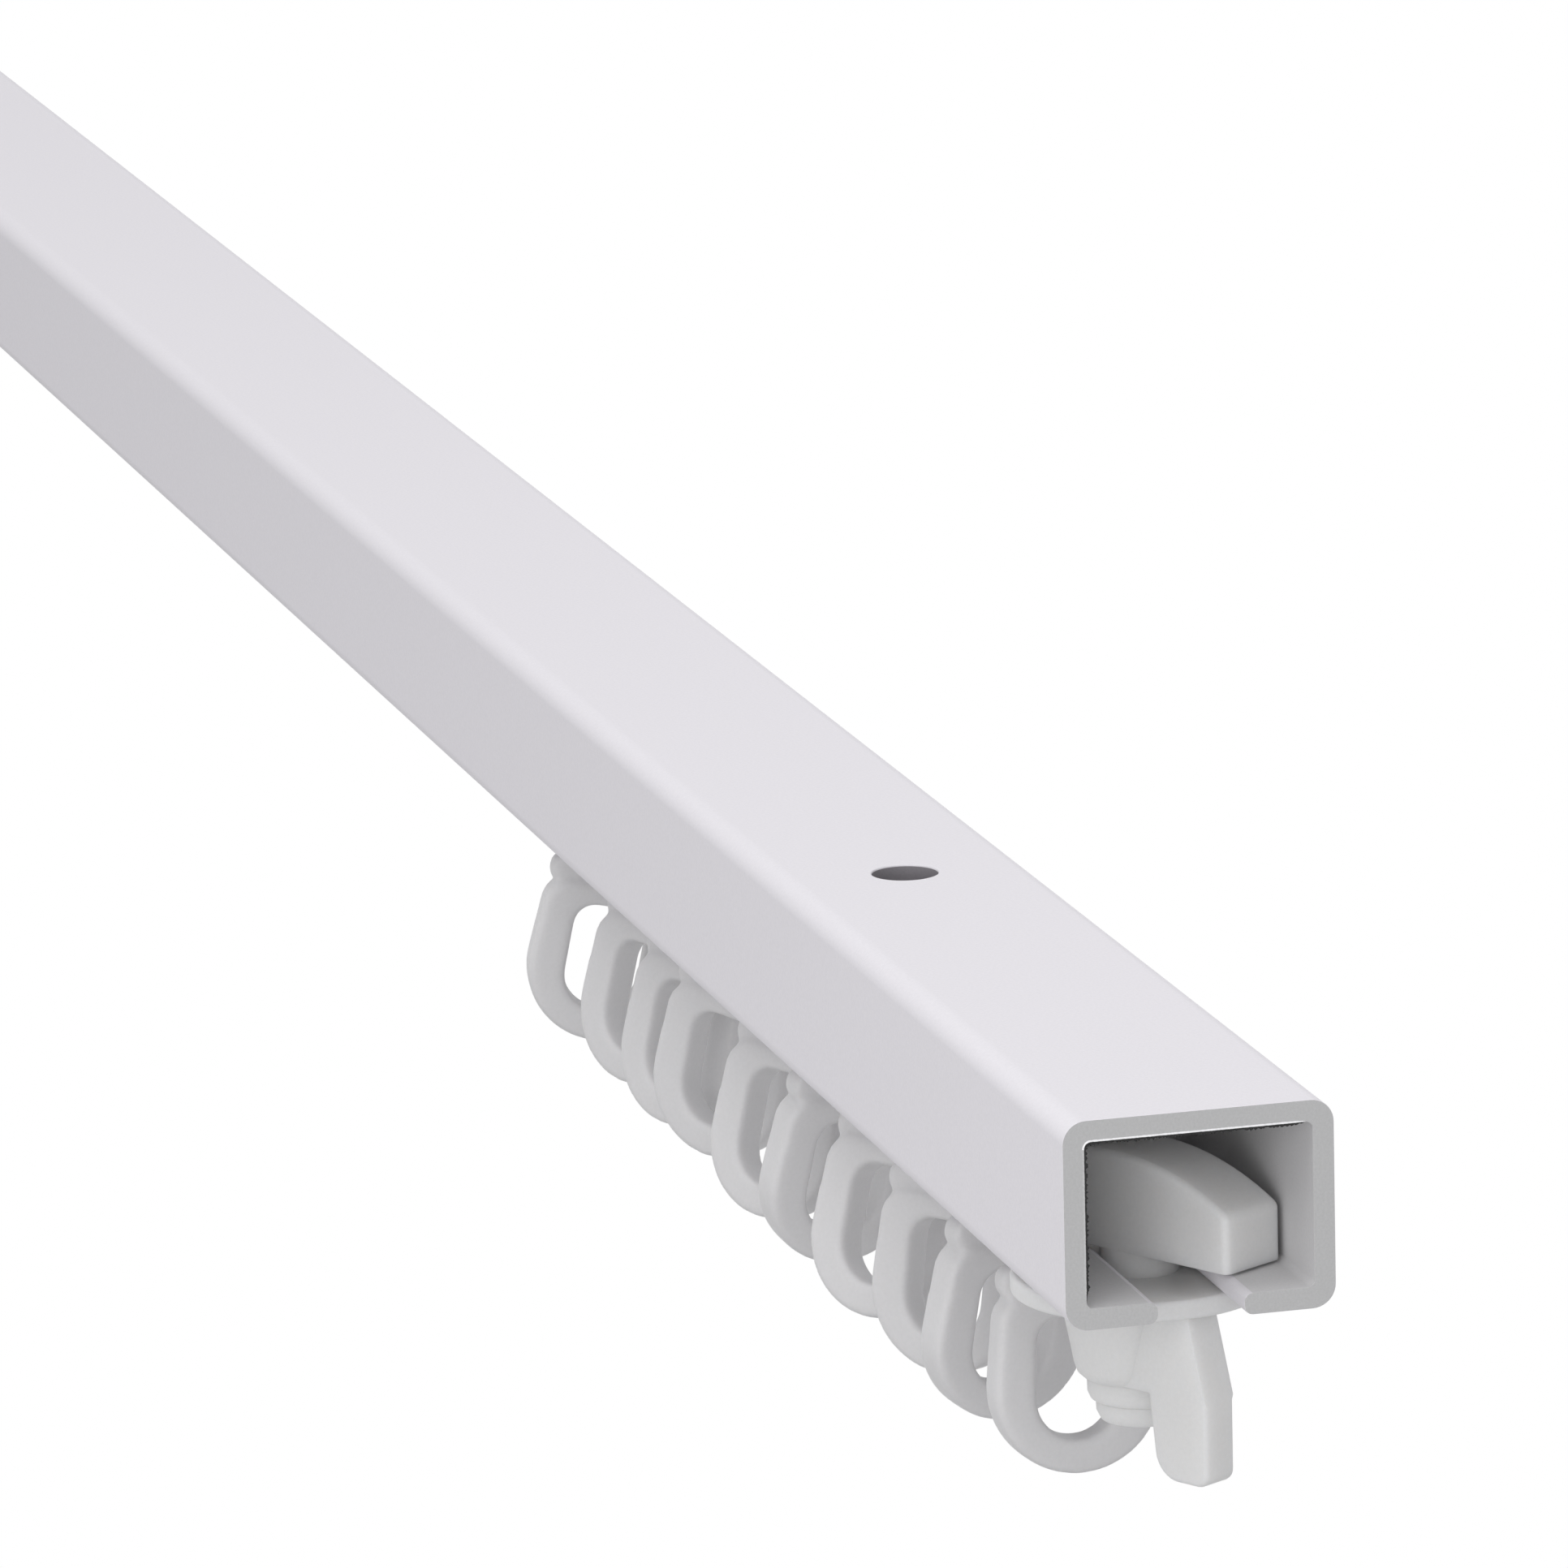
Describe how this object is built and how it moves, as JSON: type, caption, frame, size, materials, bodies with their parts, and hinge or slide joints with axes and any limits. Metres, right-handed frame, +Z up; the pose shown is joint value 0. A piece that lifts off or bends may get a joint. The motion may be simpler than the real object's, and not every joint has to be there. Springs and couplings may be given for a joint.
{
  "type": "curtain track",
  "caption": "White metal curtain track with a slotted underside, plastic ring gliders hanging from the slot and a twist-in stop with a finger tab at each end.",
  "frame": {"origin": "centre of the middle screw hole, on the track's top face that lies against the ceiling", "axes": "+X along the track towards its near end, +Y across it, +Z up into the ceiling"},
  "size_m": [1, 0.0161, 0.0275],
  "materials": {
    "white_powder_coat": "fine textured white powder coat on aluminium",
    "milky_plastic": "moulded milky white plastic, satin"
  },
  "bodies": {
    "track": {"track_profile": "white_powder_coat"},
    "glider_01": {"glider_01": "milky_plastic"},
    "glider_02": {"glider_02": "milky_plastic"},
    "glider_03": {"glider_03": "milky_plastic"},
    "glider_04": {"glider_04": "milky_plastic"},
    "glider_05": {"glider_05": "milky_plastic"},
    "glider_06": {"glider_06": "milky_plastic"},
    "glider_07": {"glider_07": "milky_plastic"},
    "glider_08": {"glider_08": "milky_plastic"},
    "glider_09": {"glider_09": "milky_plastic"},
    "glider_10": {"glider_10": "milky_plastic"},
    "near_end_stop": {"near_end_stop": "milky_plastic"},
    "far_end_stop": {"far_end_stop": "milky_plastic"}
  },
  "joints": [
    {"name": "glider_01_slide", "type": "slide", "parent": "track", "child": "glider_01", "axis": [-1, 0, 0], "range_m": [0, 0.084]},
    {"name": "glider_02_slide", "type": "slide", "parent": "glider_01", "child": "glider_02", "axis": [-1, 0, 0], "range_m": [-0.00225, 0.084]},
    {"name": "glider_03_slide", "type": "slide", "parent": "glider_02", "child": "glider_03", "axis": [-1, 0, 0], "range_m": [-0.004, 0.084]},
    {"name": "glider_04_slide", "type": "slide", "parent": "glider_03", "child": "glider_04", "axis": [-1, 0, 0], "range_m": [-0.00275, 0.084]},
    {"name": "glider_05_slide", "type": "slide", "parent": "glider_04", "child": "glider_05", "axis": [-1, 0, 0], "range_m": [-0.002, 0.084]},
    {"name": "glider_06_slide", "type": "slide", "parent": "glider_05", "child": "glider_06", "axis": [-1, 0, 0], "range_m": [-0.005, 0.084]},
    {"name": "glider_07_slide", "type": "slide", "parent": "glider_06", "child": "glider_07", "axis": [-1, 0, 0], "range_m": [-0.004, 0.084]},
    {"name": "glider_08_slide", "type": "slide", "parent": "glider_07", "child": "glider_08", "axis": [-1, 0, 0], "range_m": [-0.001, 0.084]},
    {"name": "glider_09_slide", "type": "slide", "parent": "glider_08", "child": "glider_09", "axis": [-1, 0, 0], "range_m": [-0.00025, 0.084]},
    {"name": "glider_10_slide", "type": "slide", "parent": "glider_09", "child": "glider_10", "axis": [-1, 0, 0], "range_m": [-0.00375, 0.084]},
    {"name": "near_stop_turn", "type": "hinge", "parent": "track", "child": "near_end_stop", "pos_m": [0.488, 0, -0.01224], "axis": [0, 0, 1], "range_deg": [-31, 0]},
    {"name": "far_stop_turn", "type": "hinge", "parent": "track", "child": "far_end_stop", "pos_m": [-0.488, 0, -0.01224], "axis": [0, 0, 1], "range_deg": [-31, 0]}
  ]
}
